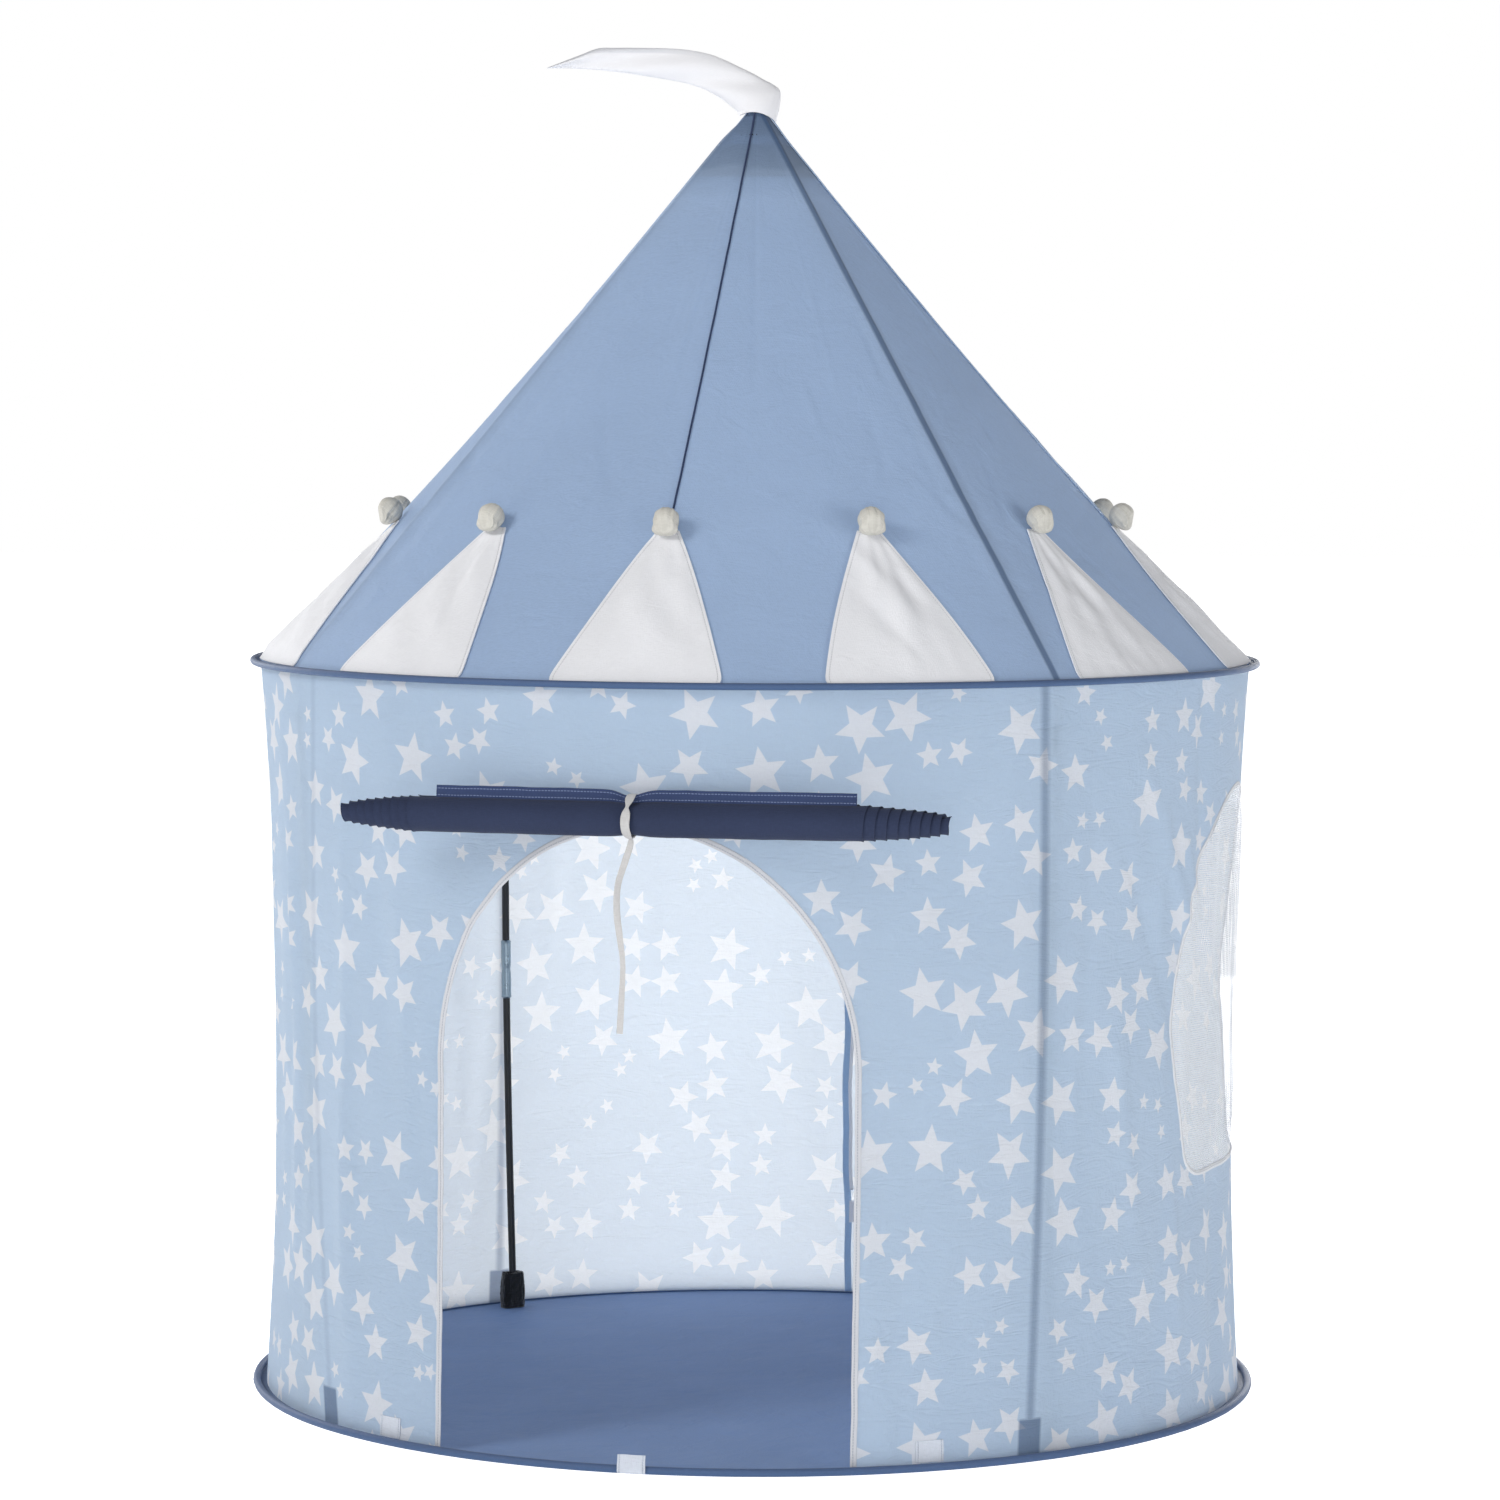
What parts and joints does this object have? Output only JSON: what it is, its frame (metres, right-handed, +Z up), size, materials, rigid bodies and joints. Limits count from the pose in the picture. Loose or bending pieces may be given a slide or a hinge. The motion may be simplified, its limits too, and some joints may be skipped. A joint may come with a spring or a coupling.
{
  "type": "child's round play tent",
  "caption": "Round cloth play tent with hoops, conical roof, pennants with balls, mesh side windows and a rolled-up arched door.",
  "frame": {"origin": "middle of the underside of the ground sheet", "axes": "+Z up, the doorway faces -Y, the two windows face +X and -X"},
  "size_m": [1.054, 1.0759, 1.3948],
  "materials": {
    "wall_cotton": "plain woven cotton blend, pale blue with printed white stars",
    "roof_cotton": "plain woven cotton blend, mid blue",
    "floor_cotton": "plain woven cotton blend, mid blue",
    "hoop_sleeve": "woven sleeve, dark blue, over a sprung hoop",
    "seam_tape": "folded binding, blue",
    "white_cotton": "white cotton, two layers, stitched edges",
    "grey_tape": "grey-white bias tape",
    "window_net": "white polyester netting",
    "door_flap": "plain woven cotton blend, mid blue, rolled up",
    "tie_tape": "flat woven tape, off-white",
    "pole_fibreglass": "drawn fibreglass rod, black, satin",
    "ferrule_zinc": "zinc-plated tube",
    "pocket_webbing": "black fleece-faced webbing",
    "hub_plastic": "moulded nylon, black"
  },
  "bodies": {
    "root": {"floor_sheet": "floor_cotton", "bottom_hoop": "hoop_sleeve", "top_hoop": "hoop_sleeve", "wall_front_left": "wall_cotton", "wall_front_right": "wall_cotton", "wall_header": "wall_cotton", "wall_window_left": "wall_cotton", "wall_window_right": "wall_cotton", "wall_back_left": "wall_cotton", "wall_back_right": "wall_cotton", "back_seam_binding": "seam_tape", "door_binding": "grey_tape", "window_binding_left": "white_cotton", "window_binding_right": "white_cotton", "window_mesh_left": "window_net", "window_mesh_right": "window_net", "door_roll": "door_flap", "door_tie": "tie_tape", "door_tie_tail": "tie_tape", "roof_gore_front_left": "roof_cotton", "roof_gore_front_right": "roof_cotton", "roof_gore_back_left": "roof_cotton", "roof_gore_back_right": "roof_cotton", "crown_hub": "hub_plastic", "streamer": "white_cotton", "pole_front_left": "pole_fibreglass", "pole_front_right": "pole_fibreglass", "pole_back_left": "pole_fibreglass", "pole_back_right": "pole_fibreglass", "ferrule_front_left": "ferrule_zinc", "ferrule_front_right": "ferrule_zinc", "ferrule_back_left": "ferrule_zinc", "ferrule_back_right": "ferrule_zinc", "foot_pocket_front_left": "pocket_webbing", "foot_pocket_front_right": "pocket_webbing", "foot_pocket_back_left": "pocket_webbing", "foot_pocket_back_right": "pocket_webbing", "pennant_01": "white_cotton", "pennant_02": "white_cotton", "pennant_03": "white_cotton", "pennant_04": "white_cotton", "pennant_05": "white_cotton", "pennant_06": "white_cotton", "pennant_07": "white_cotton", "pennant_08": "white_cotton", "pennant_09": "white_cotton", "pennant_10": "white_cotton", "pennant_11": "white_cotton", "pennant_12": "white_cotton"}
  },
  "joints": []
}
